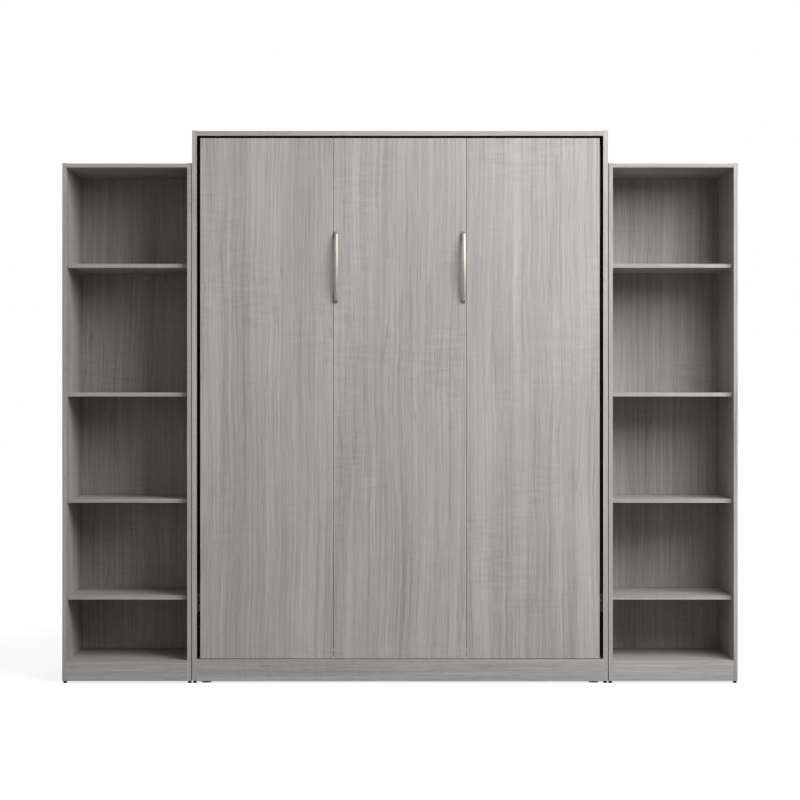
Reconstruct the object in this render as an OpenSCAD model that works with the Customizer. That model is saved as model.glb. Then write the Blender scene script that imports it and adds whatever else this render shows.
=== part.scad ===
// Vertical wall bed in a cabinet, with an open shelving tower on each side.
// Millimetres, +Z up, the front faces -Y, the floor is z = 0 and x = 0 is the middle.
// Depths are counted back from the cabinet's front plane and are named *_b or depth.

/* [Mattress] */
// Width of the mattress
mattress_w = 1524; // [1000:1:1900]
// Length of the mattress
mattress_l = 2032; // [1700:1:2500]
// Thickness of the mattress
mattress_t = 203; // [150:1:260]
// Radius of the mattress's plan corners
mattress_corner_r = 55; // [10:1:120]

/* [Bed face] */
// Thickness of the three face panels
face_t = 16; // [15:1:22]
// Face beyond each side of the mattress
face_side_margin = 36.5; // [36.5:0.5:80]
// Face beyond the foot end of the mattress
face_foot_margin = 24; // [24:1:60]
// Face beyond the head end of the mattress
face_head_margin = 25; // [25:1:60]
// Seam between two face panels
seam_w = 1.6; // [0.5:0.1:4]

/* [Cabinet] */
// Thickness of the cabinet's sides and top
cab_panel_t = 19; // [18:1:28]
// Gap between the face and each cabinet side
side_gap = 14.5; // [14.5:0.5:24]
// Gap between the face and the cabinet's top
top_gap = 10; // [9:0.5:20]
// Step from the top of the side panels down to the top panel
top_drop = 2; // [0:0.5:6]
// Height of the base rail's upper edge
base_rail_top = 97.6; // [70:0.1:140]
// Free depth behind the mattress's corner as it swings, for bedding
bedding_clear = 54; // [10:1:120]
// Thickness of the headboard panel and the wall rail
rear_panel_t = 16; // [12:1:22]
// Height of the wall rail
wall_rail_h = 100; // [70:1:160]
// Distance between the wall fixing holes
wall_hole_pitch = 406.4; // [300:0.1:480]
// Radius of a wall fixing hole
wall_hole_r = 4; // [3:0.5:6]
// Lower edge of the headboard panel
headboard_z = 420; // [360:1:500]
// Height of the headboard panel
headboard_h = 600; // [300:1:900]
// Depth of the black liner strips behind the front edges
liner_depth = 140; // [60:1:200]
// Thickness of the black liner strips
liner_t = 2.5; // [1:0.5:3]

/* [Bed frame] */
// Width of a side rail across the bed
rail_w = 25; // [20:1:30]
// Depth of a side rail
rail_h = 60; // [50:1:70]
// Wall of the steel tubes
tube_wall = 2; // [1.5:0.5:3]
// Thickness of an end rail along the bed
end_rail_t = 20; // [16:1:20]
// Number of slats
slat_count = 13; // [9:1:18]
// Width of a slat
slat_w = 53; // [40:1:70]
// Thickness of a slat
slat_t = 10; // [8:1:12]
// Depth of the centre beam under the slats
beam_h = 28; // [20:1:34]

/* [Pivot and legs] */
// Height of the bed's pivot
pivot_z = 328; // [300:1:380]
// Depth of the bed's pivot
pivot_b = 26; // [26:0.5:34]
// Radius of the pivot pin
pivot_pin_r = 8; // [6:0.5:9]
// Radius of the leg's pin
leg_pin_r = 6; // [5:0.5:8]
// Depth of the leg's pin
leg_pin_b = 46; // [40:1:56]
// Distance of the leg's pin from the foot edge of the face
leg_pin_inset = 41; // [36:1:80]
// Width of a leg
leg_w = 44; // [30:1:48]
// Reach of the tie rod's pins from the pivots, back and up alike
tie_offset = 35; // [30:1:40]
// Width of a tie rod
tie_w = 16; // [12:1:18]

/* [Gas pistons] */
// Upper piston pin behind the pivot
piston_top_back = 100; // [90:1:120]
// Upper piston pin above the pivot
piston_top_up = 350; // [320:1:420]
// Lower piston pin behind the pivot
piston_low_back = 92; // [90:1:100]
// Lower piston pin below the pivot
piston_low_down = 120; // [90:1:130]
// Radius of the piston's cylinder
piston_r = 11; // [9:0.5:12]
// Radius of the piston's rod
piston_rod_r = 5; // [4:0.5:6]

/* [Handles] */
// Length of a handle
handle_l = 286; // [200:1:400]
// How far a handle stands out
handle_out = 32; // [24:1:45]
// How far its bow stands out where it turns in at the ends
handle_end_out = 13; // [11:0.5:18]
// Width of a handle at its middle
handle_w = 17; // [15:0.5:26]
// Width of a handle at its ends
handle_end_w = 14.5; // [10:0.5:14.5]
// Thickness of a handle's bow
handle_t = 6; // [4:0.5:8]
// Height of a handle's middle
handle_z = 1665; // [1200:1:1800]
// Distance of a handle from its seam
handle_seam_offset = 11.6; // [10:0.1:60]

/* [Towers] */
// Width of a tower
tower_w = 516; // [400:1:800]
// Height of a tower
tower_h = 2082; // [1800:1:2300]
// Depth of a tower
tower_depth = 400; // [300:1:450]
// Thickness of a tower's boards
tower_t = 16; // [15:1:19]
// Gap between the cabinet and a tower
tower_gap = 3; // [1:0.5:20]
// Top of the tower's bottom shelf
tower_floor_z = 92; // [70:1:140]
// Top of the lower adjustable shelf
shelf_low_z = 348; // [250:1:420]
// Top of the middle adjustable shelf
shelf_mid_z = 737; // [600:1:850]
// Top of the fixed shelf
shelf_fixed_z = 1164; // [1000:1:1250]
// Top of the upper adjustable shelf
shelf_high_z = 1681; // [1500:1:1750]
// How far the shelves sit behind the tower's front
shelf_recess = 32; // [10:1:60]
// Thickness of a tower's back panel
back_t = 3; // [3:0.5:8]
// How far the back panel is let in from the rear
back_inset = 2; // [0:0.5:8]

/* [Feet] */
// Height of the glides under the side panels
foot_h = 10.6; // [6:0.1:20]
// Radius of those glides
foot_r = 7.5; // [5:0.5:7.5]
// Radius of the round levelling feet behind the base rail
leveller_r = 20; // [12:1:26]

/* [Clearances] */
// Between the swinging edge of the face and the base rail
sweep_clear = 1.1; // [0.8:0.1:4]
// Radial play of a pin in its bore
pin_play = 0.05; // [0.02:0.01:0.08]
// Radial play at the open pivot of a tie rod
open_play = 0.4; // [0.3:0.05:0.6]
// Gap between an adjustable shelf and each tower side
shelf_play = 1; // [0.5:0.5:2]
// Gap that keeps the mattress off its neighbours
soft_clear = 0.3; // [0.2:0.1:1]
// Gap between a leg's foot and the floor when the bed is down
leg_floor_clear = 1; // [0.5:0.5:3]

/* [Hidden] */
$fn = 48;

// Colours
WOOD = "#a3a09c";
LINER = "#121212";
STEEL_DARK = "#3a3a3c";
NICKEL = "#a5a091";
PLY = "#c9a878";
BLACK = "#1c1c1c";
TICKING = "#e9e6df";

// Face and cabinet, across
face_half = mattress_w / 2 + face_side_margin;
cab_in = face_half + side_gap;
cab_out = cab_in + cab_panel_t;
panel_w = (2 * face_half - 2 * seam_w) / 3;
seam_x = panel_w / 2 + seam_w / 2;

// Face, upright: its lower front corner swings just clear of the base rail
swing_r = pivot_z - base_rail_top - sweep_clear;
face_z0 = pivot_z - sqrt(swing_r * swing_r - pivot_b * pivot_b);
face_z1 = face_z0 + face_head_margin + mattress_l + face_foot_margin;
cab_roof = face_z1 + top_gap;
cab_h = cab_roof + cab_panel_t + top_drop;

// Steel frame behind the face
rail_inset = 3.5;
rail_out = face_half - rail_inset;
rail_in = rail_out - rail_w;
frame_inset = 3;
frame_z0 = face_z0 + frame_inset;
frame_z1 = face_z1 - frame_inset;
slat_zone0 = frame_z0 + end_rail_t;
slat_zone1 = frame_z1 - end_rail_t;
frame_b1 = face_t + rail_h;
beam_b1 = face_t + beam_h;
beam_half = 15;

// Slats and their rubber holders
slat_gap = (slat_zone1 - slat_zone0 - slat_count * slat_w) / (slat_count + 1);
holder_wall = 3;
holder_reach = 34;
holder_stop = 4;
holder_play = 0.2;
slat_end_gap = 2;
slat_end = rail_in - holder_stop - slat_end_gap;
holder_b0 = beam_b1 - holder_wall;
holder_b1 = beam_b1 + slat_t + holder_wall;

// Mattress, in the recess between the rails
mattress_b0 = holder_b1 + soft_clear;
mattress_b1 = mattress_b0 + mattress_t;
mattress_z0 = face_z0 + face_head_margin;
mattress_z1 = mattress_z0 + mattress_l;
strap_w = 50;
strap_t = 3;
strap_at = [0.22, 0.74];

// Cabinet depth: the mattress's rear lower corner swings past the headboard
corner_swing = sqrt(pow(mattress_b1 - pivot_b, 2) + pow(pivot_z - mattress_z0, 2));
cab_depth = pivot_b + corner_swing + bedding_clear + rear_panel_t;
rear_b0 = cab_depth - rear_panel_t;

// The handles reach furthest forward, and the box is centred front to back
model_depth = max(cab_depth, tower_depth) + handle_out;
front_y = handle_out - model_depth / 2;

// Layers in the side gap, counted outwards from the face's edge
leg_t = 4;
leg_x = face_half + 2.5;
tie_t = 3;
tie_x = leg_x + leg_t + 1;
plate_t = 3;
plate_x = cab_in - plate_t;

// Leg and tie rod
leg_pin_z = face_z1 - leg_pin_inset;
leg_drop = pivot_z + leg_pin_b - pivot_b - leg_floor_clear;
leg_sole = 6;
tie_pin_r = 4;
tie_end_r = 9;
tie_a = [pivot_b + tie_offset, pivot_z + tie_offset];
tie_b = [leg_pin_b + tie_offset, leg_pin_z + tie_offset];

// Gas piston
piston_top = [pivot_b + piston_top_back, pivot_z + piston_top_up];
piston_low = [pivot_b + piston_low_back, pivot_z - piston_low_down];
piston_x = rail_out - 6.5;
piston_eye_t = 12;
piston_eye_r = 10;
piston_pin_r = 5;
low_down_b = pivot_b + piston_low_down;
low_down_z = pivot_z + piston_low_back;
piston_long = norm(piston_top - piston_low);
piston_short = norm(piston_top - [low_down_b, low_down_z]);
piston_nose = 26;
cylinder_l = piston_short - piston_nose;
cylinder_wall = 2;
cylinder_neck = 22;
cylinder_neck_r = 5.5;
gland_l = 5;
rod_l = piston_short - cylinder_neck - 6;

// Pivot plate on the cabinet side
plate_front = 6;
plate_low = pivot_z - 46;
plate_step = pivot_z + 38;
plate_rear = piston_top[0] + 22;
plate_high = piston_top[1] + 22;
plate_shoulder = piston_top[0] - 22;
plate_screw_r = 2.5;
plate_head_r = 4.6;
plate_screw_l = 15;
plate_screws = [
    [plate_front + 14, plate_low + 12], [plate_rear - 14, plate_low + 12],
    [plate_rear - 14, pivot_z + 90], [plate_shoulder - 4, pivot_z + 180],
    [plate_rear - 12, pivot_z + 260], [plate_shoulder + 8, plate_high - 10]
];
bush_sleeve_r = 11;
bush_flange_r = 15;
bush_flange_t = 3;
bush_into_panel = 12;
pin_end_gap = 1;

// Handles: a bow whose outer edge is an arc, with a block at each end for its screw
bow_rise = handle_out - handle_end_out;
bow_r = (pow(handle_l / 2, 2) + pow(bow_rise, 2)) / (2 * bow_rise);
bow_lean = 9;
handle_x = seam_x - handle_seam_offset;
handle_block_l = 14;
handle_screw_z = (handle_l - handle_block_l) / 2;
handle_screw_r = 2;
handle_screw_into = 6;

// Screws through the frame into the face, as [x, height, depth of the head's seat]
bed_screw_r = 2.5;
bed_head_r = 5;
bed_head_t = 3;
bed_screw_into = 10;
rail_screw_z0 = pivot_z + 60;
rail_screw_z1 = leg_pin_z - 120;
rail_screw_z = concat([frame_z0 + 40],
                      [for (share = [0, 0.5, 1]) rail_screw_z0 + share * (rail_screw_z1 - rail_screw_z0)]);
rail_screws = [for (s = [-1, 1], z = rail_screw_z) [s * (rail_in + rail_w / 2), z, frame_b1]];
beam_screw_gaps = [1, 4, 9, 12];
function gap_mid(i) = slat_zone0 + slat_gap / 2 + i * (slat_w + slat_gap);
beam_screws = [for (i = beam_screw_gaps) [0, gap_mid(i), beam_b1]];
end_screw_offset = 150;
end_screws = [
    for (c = [-1, 0, 1], s = [-1, 1], z = [frame_z0 + end_rail_t / 2, frame_z1 - end_rail_t / 2])
        [c * (panel_w + seam_w) + s * end_screw_offset, z, frame_b1]
];
face_screws = concat(rail_screws, beam_screws, end_screws);

// Screws through the cabinet's sides into the boards between them, as [depth, height]
panel_screw_r = 3;
panel_head_r = 5;
panel_head_t = 3;
panel_screw_into = 35;
roof_mid = cab_roof + cab_panel_t / 2;
base_t = 19;
base_z0 = 9;
cabinet_screw_points = [
    [40, roof_mid], [cab_depth / 2, roof_mid], [cab_depth - 40, roof_mid],
    [base_t / 2, base_z0 + 25], [base_t / 2, base_rail_top - 25],
    [rear_b0 + rear_panel_t / 2, headboard_z + 60],
    [rear_b0 + rear_panel_t / 2, headboard_z + headboard_h - 60],
    [rear_b0 + rear_panel_t / 2, cab_roof - 25],
    [rear_b0 + rear_panel_t / 2, cab_roof - wall_rail_h + 25]
];

// Wall fixing holes
wall_hole_x = [-1.5, -0.5, 0.5, 1.5] * wall_hole_pitch;
wall_hole_z = cab_roof - wall_rail_h / 2;

// Towers
tower_in = cab_out + tower_gap;
tower_out = tower_in + tower_w;
shelf_x0 = tower_in + tower_t;
shelf_x1 = tower_out - tower_t;
back_b0 = tower_depth - back_inset - back_t;
back_groove = 5;
kick_t = tower_t;
kick_z0 = foot_h - 0.6;
pin_hole_r = 2.5;
pin_hole_depth = 9;
pin_reach = 8;
pin_pitch = 32;
pin_front_b = shelf_recess + 37;
pin_rear_b = back_b0 - 50;
loose_shelf_z = [shelf_low_z, shelf_mid_z, shelf_high_z];

// Feet
foot_setback = 22;
leveller_x = cab_in - 35;
leveller_b = base_t + 27;
leveller_t = 5;
leveller_stem_r = 4;
block_side = 54;
block_h = 40;
block_z0 = 16;
leveller_into = 20;

// A box between two planes each way, with its depths counted from the front plane
module slab(x0, x1, b0, b1, z0, z1) {
    translate([x0, front_y + b0, z0])
        cube([x1 - x0, b1 - b0, z1 - z0]);
}

// A round bar along X
module bar_x(x0, x1, at, r) {
    translate([x0, front_y + at[0], at[1]])
        rotate([0, 90, 0])
            cylinder(h = x1 - x0, r = r);
}

// A round bar along Y
module bar_y(x, z, b0, b1, r) {
    translate([x, front_y + b0, z])
        rotate([-90, 0, 0])
            cylinder(h = b1 - b0, r = r);
}

// A cone along X, for a countersunk head
module cone_x(x0, x1, at, r0, r1) {
    translate([x0, front_y + at[0], at[1]])
        rotate([0, 90, 0])
            cylinder(h = x1 - x0, r1 = r0, r2 = r1);
}

// A plate across the bed from a (depth, height) drawing
module plate(x0, t) {
    translate([x0, front_y, 0])
        rotate([90, 0, 90])
            linear_extrude(height = t)
                children();
}

// Draws on the right, or mirrored on the left
module hand(side) {
    if (side > 0)
        children();
    else
        mirror([1, 0, 0])
            children();
}

module both() {
    hand(1)
        children();
    hand(-1)
        children();
}

// ---- Cabinet ----

module panel_screw(at) {
    bar_x(cab_out - panel_head_t, cab_out, at, panel_head_r);
    bar_x(cab_out - cab_panel_t - panel_screw_into, cab_out - panel_head_t, at, panel_screw_r);
}

module panel_screw_bores() {
    both()
        for (at = cabinet_screw_points)
            panel_screw(at);
}

module plate_screw_shape(at, grow) {
    cone_x(plate_x, plate_x + plate_t, at, plate_head_r + grow, plate_screw_r + grow);
}

module plate_screw(at) {
    plate_screw_shape(at, 0);
    bar_x(cab_in, plate_x + plate_screw_l, at, plate_screw_r);
}

module cabinet_side(side) {
    color(WOOD)
        hand(side)
            difference() {
                slab(cab_in, cab_out, 0, cab_depth, foot_h, cab_h);
                for (at = cabinet_screw_points)
                    panel_screw(at);
                for (at = plate_screws)
                    bar_x(cab_in - 1, plate_x + plate_screw_l, at, plate_screw_r);
                bar_x(cab_in - 1, cab_in + bush_into_panel, [pivot_b, pivot_z], bush_sleeve_r);
            }
}

module cabinet_side_left() cabinet_side(-1);
module cabinet_side_right() cabinet_side(1);

module cabinet_top() {
    color(WOOD)
        difference() {
            slab(-cab_in, cab_in, 0, cab_depth, cab_roof, cab_roof + cab_panel_t);
            panel_screw_bores();
        }
}

module base_rail() {
    color(WOOD)
        difference() {
            slab(-cab_in, cab_in, 0, base_t, base_z0, base_rail_top);
            panel_screw_bores();
        }
}

// Glued blocks behind the base rail that hold the levelling feet
module corner_blocks() {
    color(PLY)
        both()
            difference() {
                slab(leveller_x - block_side / 2, leveller_x + block_side / 2,
                     base_t, base_t + block_side, block_z0, block_z0 + block_h);
                translate([leveller_x, front_y + leveller_b, block_z0 - 1])
                    cylinder(h = leveller_into + 1, r = leveller_stem_r);
            }
}

module wall_rail() {
    color(WOOD)
        difference() {
            slab(-cab_in, cab_in, rear_b0, cab_depth, cab_roof - wall_rail_h, cab_roof);
            for (x = wall_hole_x)
                bar_y(x, wall_hole_z, rear_b0 - 1, cab_depth + 1, wall_hole_r);
            panel_screw_bores();
        }
}

module headboard_panel() {
    color(WOOD)
        difference() {
            slab(-cab_in, cab_in, rear_b0, cab_depth, headboard_z, headboard_z + headboard_h);
            panel_screw_bores();
        }
}

module pivot_plate_outline(grow) {
    polygon([
        [plate_front - grow, plate_low - grow],
        [plate_rear + grow, plate_low - grow],
        [plate_rear + grow, plate_high + grow],
        [plate_shoulder - grow, plate_high + grow],
        [plate_front - grow, plate_step + grow]
    ]);
}

// Black strips just inside the front edges, cut round the pivot plates
module edge_liners() {
    liner_b0 = 4;
    plate_gap = 2;
    color(LINER) {
        both()
            plate(cab_in - liner_t, liner_t)
                difference() {
                    translate([liner_b0, base_rail_top])
                        square([liner_depth, cab_roof - base_rail_top]);
                    pivot_plate_outline(plate_gap);
                }
        // The top strip ends where the rubber stops begin
        slab(-cab_in + liner_t, cab_in - liner_t, liner_b0, frame_b1,
             cab_roof - liner_t, cab_roof);
    }
}

module pivot_plates() {
    color(STEEL_DARK)
        both() {
            difference() {
                plate(plate_x, plate_t)
                    pivot_plate_outline(0);
                bar_x(plate_x - 1, cab_in + 1, [pivot_b, pivot_z], bush_sleeve_r);
                for (at = plate_screws)
                    plate_screw_shape(at, 0);
            }
            // Pin for the tie rod
            bar_x(tie_x - 0.5, plate_x, tie_a, tie_pin_r);
            // Stud and shoulder for the gas piston
            bar_x(piston_x - piston_eye_t / 2 - 1.5, plate_x, piston_top, piston_pin_r);
            bar_x(piston_x + piston_eye_t / 2 + 0.5, plate_x, piston_top, piston_pin_r + 4);
        }
}

module pivot_bushes() {
    color(BLACK)
        both()
            difference() {
                union() {
                    bar_x(plate_x - bush_flange_t, plate_x, [pivot_b, pivot_z], bush_flange_r);
                    bar_x(plate_x, cab_in + bush_into_panel, [pivot_b, pivot_z], bush_sleeve_r);
                }
                bar_x(plate_x - bush_flange_t - 1, cab_in + bush_into_panel + 1,
                      [pivot_b, pivot_z], pivot_pin_r + pin_play);
            }
}

// Rubber blocks under the cabinet's top that the closed bed rests against
module bed_stops() {
    stop_h = 36;
    stop_l = 24;
    color(BLACK)
        both()
            slab(rail_in, rail_out, frame_b1 + soft_clear, frame_b1 + soft_clear + stop_l,
                 cab_roof - stop_h, cab_roof);
}

module glide(x, b) {
    translate([x, front_y + b, 0])
        cylinder(h = foot_h, r = foot_r);
}

module feet() {
    color(BLACK) {
        both() {
            for (x = [cab_in + cab_panel_t / 2], b = [foot_setback, cab_depth - foot_setback])
                glide(x, b);
            for (x = [tower_in + tower_t / 2, tower_out - tower_t / 2],
                 b = [foot_setback, tower_depth - foot_setback])
                glide(x, b);
            translate([leveller_x, front_y + leveller_b, 0]) {
                cylinder(h = leveller_t, r = leveller_r);
                cylinder(h = block_z0 + leveller_into, r = leveller_stem_r);
            }
        }
    }
}

module cabinet_screws() {
    color(STEEL_DARK)
        both() {
            for (at = cabinet_screw_points)
                panel_screw(at);
            for (at = plate_screws)
                plate_screw(at);
        }
}

// ---- Bed ----

module face_screw(s) {
    bar_y(s[0], s[1], s[2], s[2] + bed_head_t, bed_head_r);
    bar_y(s[0], s[1], face_t - bed_screw_into, s[2], bed_screw_r);
}

module face_screw_bores(b0, b1) {
    for (s = face_screws)
        bar_y(s[0], s[1], b0, b1, bed_screw_r);
}

module handle_screw_bores(b0, b1) {
    for (x = [-handle_x, handle_x], s = [-1, 1])
        bar_y(x, handle_z + s * handle_screw_z, b0, b1, handle_screw_r);
}

module face_panel(place) {
    middle = place * (panel_w + seam_w);
    color(WOOD)
        difference() {
            slab(middle - panel_w / 2, middle + panel_w / 2, 0, face_t, face_z0, face_z1);
            for (s = face_screws)
                if (abs(s[0] - middle) < panel_w / 2)
                    bar_y(s[0], s[1], face_t - bed_screw_into, face_t + 1, bed_screw_r);
            if (place == 0)
                handle_screw_bores(-1, face_t + 1);
        }
}

module face_panel_left() face_panel(-1);
module face_panel_center() face_panel(0);
module face_panel_right() face_panel(1);

module frame_rail(side) {
    color(STEEL_DARK)
        difference() {
            hand(side)
                difference() {
                    slab(rail_in, rail_out, face_t, frame_b1, frame_z0, frame_z1);
                    slab(rail_in + tube_wall, rail_out - tube_wall,
                         face_t + tube_wall, frame_b1 - tube_wall, frame_z0 - 1, frame_z1 + 1);
                    bar_x(rail_in - 1, rail_out + 1, [pivot_b, pivot_z], pivot_pin_r);
                    bar_x(rail_in - 1, rail_out + 1, [leg_pin_b, leg_pin_z], leg_pin_r);
                }
            face_screw_bores(face_t - 1, frame_b1 + 1);
        }
}

module frame_rail_left() frame_rail(-1);
module frame_rail_right() frame_rail(1);

module end_rail(z0) {
    difference() {
        slab(-rail_in, rail_in, face_t, frame_b1, z0, z0 + end_rail_t);
        slab(-rail_in - 1, rail_in + 1, face_t + tube_wall, frame_b1 - tube_wall,
             z0 + tube_wall, z0 + end_rail_t - tube_wall);
        face_screw_bores(face_t - 1, frame_b1 + 1);
    }
}

module frame_end_rails() {
    color(STEEL_DARK) {
        end_rail(frame_z0);
        end_rail(frame_z1 - end_rail_t);
    }
}

module frame_center_beam() {
    color(STEEL_DARK)
        difference() {
            slab(-beam_half, beam_half, face_t, beam_b1, slat_zone0, slat_zone1);
            slab(-beam_half + tube_wall, beam_half - tube_wall,
                 face_t + tube_wall, beam_b1 - tube_wall, slat_zone0 - 1, slat_zone1 + 1);
            face_screw_bores(face_t - 1, beam_b1 + 1);
        }
}

function slat_z(i) = slat_zone0 + slat_gap + i * (slat_w + slat_gap);

module slats() {
    color(PLY)
        for (i = [0 : slat_count - 1])
            slab(-slat_end, slat_end, beam_b1, beam_b1 + slat_t, slat_z(i), slat_z(i) + slat_w);
}

module slat_holders() {
    color(BLACK)
        both()
            for (i = [0 : slat_count - 1])
                difference() {
                    slab(rail_in - holder_reach, rail_in, holder_b0, holder_b1,
                         slat_z(i) - holder_wall, slat_z(i) + slat_w + holder_wall);
                    slab(rail_in - holder_reach - 1, rail_in - holder_stop,
                         beam_b1 - holder_play, beam_b1 + slat_t + holder_play,
                         slat_z(i) - holder_play, slat_z(i) + slat_w + holder_play);
                }
}

module mattress() {
    half = mattress_w / 2;
    color(TICKING)
        translate([0, front_y + mattress_b1, 0])
            rotate([90, 0, 0])
                linear_extrude(height = mattress_t)
                    union() {
                        for (x = [-1, 1], z = [0, 1])
                            translate([x * (half - mattress_corner_r),
                                       mattress_z0 + mattress_corner_r
                                       + z * (mattress_l - 2 * mattress_corner_r)])
                                circle(r = mattress_corner_r);
                        translate([-half + mattress_corner_r, mattress_z0])
                            square([mattress_w - 2 * mattress_corner_r, mattress_l]);
                        translate([-half, mattress_z0 + mattress_corner_r])
                            square([mattress_w, mattress_l - 2 * mattress_corner_r]);
                    }
}

// Elastic bands from rail to rail that hold the mattress in the upright bed
module mattress_straps() {
    strap_in = mattress_w / 2 + soft_clear;
    strap_b1 = mattress_b1 + soft_clear;
    color(BLACK)
        for (share = strap_at) {
            z0 = mattress_z0 + share * mattress_l - strap_w / 2;
            difference() {
                slab(-strap_in - strap_t, strap_in + strap_t, holder_b1 + soft_clear,
                     strap_b1 + strap_t, z0, z0 + strap_w);
                slab(-strap_in, strap_in, holder_b1 - 1, strap_b1, z0 - 1, z0 + strap_w + 1);
            }
        }
}

// Side view of the handle's outer edge: an arc, turned in at 45 degrees at both ends
module bow_outline() {
    turn = 8;
    past = 4;
    end = handle_l / 2;
    intersection() {
        translate([bow_r - handle_out, 0])
            circle(r = bow_r, $fn = 180);
        polygon([
            [handle_out, -end], [turn - handle_end_out, -end],
            [-handle_end_out - past, -end + turn + past], [-handle_out - 1, -end + turn + past],
            [-handle_out - 1, end - turn - past], [-handle_end_out - past, end - turn - past],
            [turn - handle_end_out, end], [handle_out, end]
        ]);
    }
}

// That outline drawn across the handle, turned a little about its outermost point
module leaning_bow(angle) {
    translate([0, front_y - handle_out, 0])
        rotate([0, 0, angle])
            translate([0, handle_out - front_y, 0])
                plate(-2 * handle_w, 4 * handle_w)
                    bow_outline();
}

// Two halves lean away from a ridge down the middle, and the front narrows to the ends
module handle_bow() {
    front_r = (pow(handle_l / 2, 2) + pow((handle_w - handle_end_w) / 2, 2))
              / (handle_w - handle_end_w);
    inner_half = handle_l / 2 - handle_block_l;
    difference() {
        intersection() {
            leaning_bow(bow_lean);
            leaning_bow(-bow_lean);
            translate([0, front_y, 0])
                rotate([90, 0, 0])
                    linear_extrude(height = handle_out + 1)
                        intersection() {
                            translate([front_r - handle_w / 2, 0])
                                circle(r = front_r, $fn = 180);
                            translate([handle_w / 2 - front_r, 0])
                                circle(r = front_r, $fn = 180);
                        }
        }
        plate(-handle_w, 2 * handle_w)
            intersection() {
                translate([bow_r - handle_out, 0])
                    circle(r = bow_r - handle_t, $fn = 180);
                translate([-handle_out, -inner_half])
                    square([handle_out + 1, 2 * inner_half]);
            }
    }
}

module handle(side) {
    color(NICKEL)
        translate([side * handle_x, 0, handle_z])
            difference() {
                handle_bow();
                for (s = [-1, 1])
                    bar_y(0, s * handle_screw_z, -handle_screw_into, 1, handle_screw_r);
            }
}

module handle_left() handle(-1);
module handle_right() handle(1);

module bed_screws() {
    color(STEEL_DARK) {
        for (s = face_screws)
            face_screw(s);
        for (x = [-handle_x, handle_x], s = [-1, 1]) {
            bar_y(x, handle_z + s * handle_screw_z, face_t, face_t + 2.5, handle_screw_r + 2);
            bar_y(x, handle_z + s * handle_screw_z, -handle_screw_into, face_t, handle_screw_r);
        }
    }
}

module bed_pivot_pins() {
    pivot = [pivot_b, pivot_z];
    leg_pin = [leg_pin_b, leg_pin_z];
    shoulder_r = 9.5;
    color(STEEL_DARK)
        both() {
            bar_x(rail_in, cab_in + bush_into_panel - pin_end_gap, pivot, pivot_pin_r);
            bar_x(rail_out, plate_x - bush_flange_t - 0.3, pivot, shoulder_r);
            bar_x(rail_in, tie_x + 1, leg_pin, leg_pin_r);
            bar_x(rail_out, leg_x - 0.3, leg_pin, shoulder_r);
            bar_x(leg_x + leg_t + 0.3, tie_x + 1, leg_pin, shoulder_r);
        }
}

module piston_brackets() {
    foot_half = 28;
    foot_t = 4;
    ear_t = 4;
    ear_r = 13;
    color(STEEL_DARK)
        both() {
            slab(rail_in, rail_out, frame_b1, frame_b1 + foot_t,
                 piston_low[1] - foot_half, piston_low[1] + foot_half);
            plate(rail_in + 1, ear_t)
                union() {
                    translate(piston_low)
                        circle(r = ear_r);
                    translate([frame_b1 + foot_t / 2, piston_low[1] - ear_r])
                        square([piston_low[0] - frame_b1 - foot_t / 2, 2 * ear_r]);
                }
        }
}

// ---- Legs and tie rods ----

module leg(side) {
    // The round ends stand a little proud of the bar and the lobe
    head_r = leg_w / 2 + 2;
    lobe_w = 2 * tie_end_r - 3;
    color(STEEL_DARK)
        hand(side) {
            difference() {
                plate(leg_x, leg_t)
                    translate([leg_pin_b, leg_pin_z])
                        union() {
                            circle(r = head_r);
                            translate([-leg_w / 2, -leg_drop + leg_sole])
                                square([leg_w, leg_drop - leg_sole]);
                            rotate(45)
                                translate([0, -lobe_w / 2])
                                    square([tie_offset * sqrt(2), lobe_w]);
                            translate([tie_offset, tie_offset])
                                circle(r = tie_end_r);
                        }
                bar_x(leg_x - 1, leg_x + leg_t + 1, [leg_pin_b, leg_pin_z], leg_pin_r + pin_play);
            }
            // Pin that the tie rod's open eye goes over
            bar_x(leg_x + leg_t, tie_x + tie_t + 0.5, tie_b, tie_pin_r);
        }
}

module leg_left() leg(-1);
module leg_right() leg(1);

// Rubber shoe on the end of a leg
module leg_foot(side) {
    shoe_h = 26;
    shoe_wall = 1.4;
    shoe_skin = 0.7;
    z0 = leg_pin_z - leg_drop;
    color(BLACK)
        hand(side)
            difference() {
                slab(leg_x - shoe_skin, leg_x + leg_t + shoe_skin,
                     leg_pin_b - leg_w / 2 - shoe_wall, leg_pin_b + leg_w / 2 + shoe_wall,
                     z0, z0 + shoe_h);
                slab(leg_x, leg_x + leg_t, leg_pin_b - leg_w / 2, leg_pin_b + leg_w / 2,
                     z0 + leg_sole, z0 + shoe_h + 1);
            }
}

module leg_foot_left() leg_foot(-1);
module leg_foot_right() leg_foot(1);

module tie_rod(side) {
    span = norm(tie_b - tie_a);
    lean = atan2(tie_b[1] - tie_a[1], tie_b[0] - tie_a[0]);
    color(STEEL_DARK)
        hand(side)
            difference() {
                plate(tie_x, tie_t)
                    union() {
                        translate(tie_a)
                            circle(r = tie_end_r);
                        translate(tie_b)
                            circle(r = tie_end_r);
                        translate(tie_a)
                            rotate(lean)
                                translate([0, -tie_w / 2])
                                    square([span, tie_w]);
                    }
                bar_x(tie_x - 1, tie_x + tie_t + 1, tie_a, tie_pin_r + pin_play);
                bar_x(tie_x - 1, tie_x + tie_t + 1, tie_b, tie_pin_r + open_play);
            }
}

module tie_rod_left() tie_rod(-1);
module tie_rod_right() tie_rod(1);

// ---- Gas pistons ----

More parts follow.
